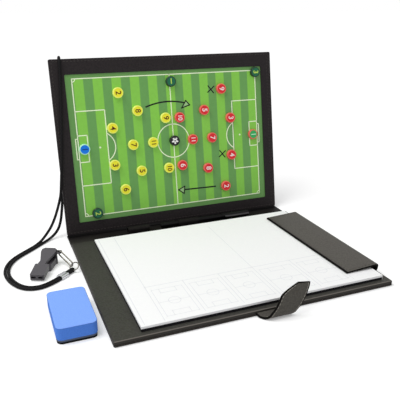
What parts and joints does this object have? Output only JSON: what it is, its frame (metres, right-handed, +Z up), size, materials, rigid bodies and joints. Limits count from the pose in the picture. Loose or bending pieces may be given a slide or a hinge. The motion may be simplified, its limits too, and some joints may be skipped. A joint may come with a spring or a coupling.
{
  "type": "tactics board",
  "caption": "Folding leatherette tactics board standing open, with a magnetic pitch and counters, writing pad under a flap, marker, wiping block and whistle on a lanyard.",
  "frame": {"origin": "middle of the base panel's underside, on the table", "axes": "+X to the right along the creases, +Y to the back towards the lid, +Z up"},
  "size_m": [0.4041, 0.3291, 0.2368],
  "materials": {
    "leatherette_black": "grained",
    "leatherette_grey": "grained",
    "board": "matt",
    "card_black": "matt",
    "steel": "satin",
    "pitch_paper": "printed",
    "clear_film": "gloss",
    "counter_yellow": "gloss",
    "counter_red": "gloss",
    "counter_blue": "gloss",
    "counter_green": "gloss",
    "counter_black": "gloss",
    "paper": "matt",
    "ferrite": "matt",
    "marker_plastic": "gloss",
    "nib_felt": "matt",
    "foam_blue": "matt",
    "felt_black": "matt",
    "cord_black": "braided",
    "bright_metal": "polished",
    "sleeve_rubber": "matt",
    "whistle_plastic": "satin"
  },
  "bodies": {
    "base": {"base_cover": "leatherette_black", "base_lining": "leatherette_grey", "base_board": "board", "flap_gusset": "leatherette_grey", "strap_root": "leatherette_grey", "lanyard_floor_cord": "cord_black", "lanyard_ferrule": "bright_metal", "lanyard_sleeve": "sleeve_rubber", "lanyard_hook": "bright_metal"},
    "spine": {"spine_cover": "leatherette_black", "spine_board": "board", "pen_loops": "leatherette_black", "lanyard_hanging_cord": "cord_black"},
    "lid": {"lid_cover": "leatherette_black", "lid_frame": "leatherette_black", "lid_board": "board", "steel_sheet": "steel", "pitch_print": "pitch_paper", "wipe_film": "clear_film", "lanyard_lid_cord": "cord_black"},
    "pad": {"pad_backing": "card_black", "pad_sheets": "paper", "pad_top_sheet": "paper", "pad_binding": "paper"},
    "flap": {"flap_cover": "leatherette_grey", "flap_board": "board"},
    "strap": {"strap_tongue": "leatherette_grey", "strap_magnet": "ferrite"},
    "marker": {"marker_barrel": "marker_plastic", "marker_nib": "nib_felt"},
    "marker_cap": {"marker_cap": "marker_plastic"},
    "eraser": {"eraser_foam": "foam_blue", "eraser_felt": "felt_black"},
    "whistle": {"whistle": "whistle_plastic"},
    "counter_yellow_2": {"counter_yellow_2": "counter_yellow"},
    "counter_yellow_3": {"counter_yellow_3": "counter_yellow"},
    "counter_yellow_4": {"counter_yellow_4": "counter_yellow"},
    "counter_yellow_5": {"counter_yellow_5": "counter_yellow"},
    "counter_yellow_6": {"counter_yellow_6": "counter_yellow"},
    "counter_yellow_7": {"counter_yellow_7": "counter_yellow"},
    "counter_yellow_8": {"counter_yellow_8": "counter_yellow"},
    "counter_yellow_9": {"counter_yellow_9": "counter_yellow"},
    "counter_yellow_10": {"counter_yellow_10": "counter_yellow"},
    "counter_yellow_11": {"counter_yellow_11": "counter_yellow"},
    "counter_blue_1": {"counter_blue_1": "counter_blue"},
    "counter_red_2": {"counter_red_2": "counter_red"},
    "counter_red_3": {"counter_red_3": "counter_red"},
    "counter_red_4": {"counter_red_4": "counter_red"},
    "counter_red_5": {"counter_red_5": "counter_red"},
    "counter_red_6": {"counter_red_6": "counter_red"},
    "counter_red_7": {"counter_red_7": "counter_red"},
    "counter_red_8": {"counter_red_8": "counter_red"},
    "counter_red_9": {"counter_red_9": "counter_red"},
    "counter_red_10": {"counter_red_10": "counter_red"},
    "counter_red_11": {"counter_red_11": "counter_red"},
    "counter_red_1": {"counter_red_1": "counter_red"},
    "counter_green_1": {"counter_green_1": "counter_green"},
    "counter_green_2": {"counter_green_2": "counter_green"},
    "counter_green_3": {"counter_green_3": "counter_green"},
    "counter_ball": {"counter_ball": "counter_black"}
  },
  "joints": [
    {"name": "spine_fold", "type": "hinge", "parent": "base", "child": "spine", "pos_m": [0, 0.1185, 0.0012], "axis": [1, 0, 0], "range_deg": [0, 90], "deforming": ["lanyard_hanging_cord"]},
    {"name": "lid_fold", "type": "hinge", "parent": "spine", "child": "lid", "pos_m": [0, 0.1525, 0.0012], "axis": [1, 0, 0], "range_deg": [-80.5, 9.5], "deforming": ["lanyard_hanging_cord"]},
    {"name": "flap_fold", "type": "hinge", "parent": "base", "child": "flap", "pos_m": [0.1563, 0, 0.0154], "axis": [0, 1, 0], "range_deg": [0, 170]},
    {"name": "strap_swing", "type": "hinge", "parent": "base", "child": "strap", "pos_m": [0.0145, -0.1315, 0.00721], "axis": [1, 0, 0], "range_deg": [-15, 75]},
    {"name": "pad_pull", "type": "slide", "parent": "base", "child": "pad", "axis": [-1, 0, 0], "range_m": [0, 0.027]},
    {"name": "marker_slide", "type": "slide", "parent": "spine", "child": "marker", "axis": [1, 0, 0], "range_m": [0, 0.06]},
    {"name": "cap_pull", "type": "slide", "parent": "marker", "child": "marker_cap", "axis": [1, 0, 0], "range_m": [0, 0.03]},
    {"name": "eraser_lift", "type": "slide", "parent": "base", "child": "eraser", "axis": [0, 0, 1], "range_m": [0, 0.1]},
    {"name": "whistle_swing", "type": "hinge", "parent": "base", "child": "whistle", "pos_m": [-0.17955, 0.07697, 0.01531], "axis": [0, 0, 1], "range_deg": [-25, 0]},
    {"name": "yellow_2_slide", "type": "slide", "parent": "lid", "child": "counter_yellow_2", "axis": [1, 0, 0], "range_m": [-0.012, 0.012]},
    {"name": "yellow_3_slide", "type": "slide", "parent": "lid", "child": "counter_yellow_3", "axis": [1, 0, 0], "range_m": [-0.012, 0.012]},
    {"name": "yellow_4_slide", "type": "slide", "parent": "lid", "child": "counter_yellow_4", "axis": [1, 0, 0], "range_m": [-0.012, 0.012]},
    {"name": "yellow_5_slide", "type": "slide", "parent": "lid", "child": "counter_yellow_5", "axis": [1, 0, 0], "range_m": [-0.012, 0.012]},
    {"name": "yellow_6_slide", "type": "slide", "parent": "lid", "child": "counter_yellow_6", "axis": [1, 0, 0], "range_m": [-0.012, 0.012]},
    {"name": "yellow_7_slide", "type": "slide", "parent": "lid", "child": "counter_yellow_7", "axis": [1, 0, 0], "range_m": [-0.012, 0.0069]},
    {"name": "yellow_8_slide", "type": "slide", "parent": "lid", "child": "counter_yellow_8", "axis": [1, 0, 0], "range_m": [-0.012, 0.012]},
    {"name": "yellow_9_slide", "type": "slide", "parent": "lid", "child": "counter_yellow_9", "axis": [1, 0, 0], "range_m": [-0.012, 0.0029]},
    {"name": "yellow_10_slide", "type": "slide", "parent": "lid", "child": "counter_yellow_10", "axis": [1, 0, 0], "range_m": [-0.012, 0.0027]},
    {"name": "yellow_11_slide", "type": "slide", "parent": "lid", "child": "counter_yellow_11", "axis": [1, 0, 0], "range_m": [-0.0069, 0.0082]},
    {"name": "blue_1_slide", "type": "slide", "parent": "lid", "child": "counter_blue_1", "axis": [1, 0, 0], "range_m": [-0.0087, 0.012]},
    {"name": "red_2_slide", "type": "slide", "parent": "lid", "child": "counter_red_2", "axis": [1, 0, 0], "range_m": [-0.012, 0.012]},
    {"name": "red_3_slide", "type": "slide", "parent": "lid", "child": "counter_red_3", "axis": [1, 0, 0], "range_m": [-0.012, 0.012]},
    {"name": "red_4_slide", "type": "slide", "parent": "lid", "child": "counter_red_4", "axis": [1, 0, 0], "range_m": [-0.012, 0.012]},
    {"name": "red_5_slide", "type": "slide", "parent": "lid", "child": "counter_red_5", "axis": [1, 0, 0], "range_m": [-0.012, 0.012]},
    {"name": "red_6_slide", "type": "slide", "parent": "lid", "child": "counter_red_6", "axis": [1, 0, 0], "range_m": [-0.0027, 0.012]},
    {"name": "red_7_slide", "type": "slide", "parent": "lid", "child": "counter_red_7", "axis": [1, 0, 0], "range_m": [-0.0074, 0.012]},
    {"name": "red_8_slide", "type": "slide", "parent": "lid", "child": "counter_red_8", "axis": [1, 0, 0], "range_m": [-0.012, 0.012]},
    {"name": "red_9_slide", "type": "slide", "parent": "lid", "child": "counter_red_9", "axis": [1, 0, 0], "range_m": [-0.012, 0.012]},
    {"name": "red_10_slide", "type": "slide", "parent": "lid", "child": "counter_red_10", "axis": [1, 0, 0], "range_m": [-0.0029, 0.012]},
    {"name": "red_11_slide", "type": "slide", "parent": "lid", "child": "counter_red_11", "axis": [1, 0, 0], "range_m": [-0.0063, 0.0074]},
    {"name": "red_1_slide", "type": "slide", "parent": "lid", "child": "counter_red_1", "axis": [1, 0, 0], "range_m": [-0.012, 0.01]},
    {"name": "green_1_slide", "type": "slide", "parent": "lid", "child": "counter_green_1", "axis": [1, 0, 0], "range_m": [-0.012, 0.012]},
    {"name": "green_2_slide", "type": "slide", "parent": "lid", "child": "counter_green_2", "axis": [1, 0, 0], "range_m": [-0.012, 0.012]},
    {"name": "green_3_slide", "type": "slide", "parent": "lid", "child": "counter_green_3", "axis": [1, 0, 0], "range_m": [-0.012, 0.0021]},
    {"name": "ball_slide", "type": "slide", "parent": "lid", "child": "counter_ball", "axis": [1, 0, 0], "range_m": [-0.0082, 0.0063]}
  ]
}
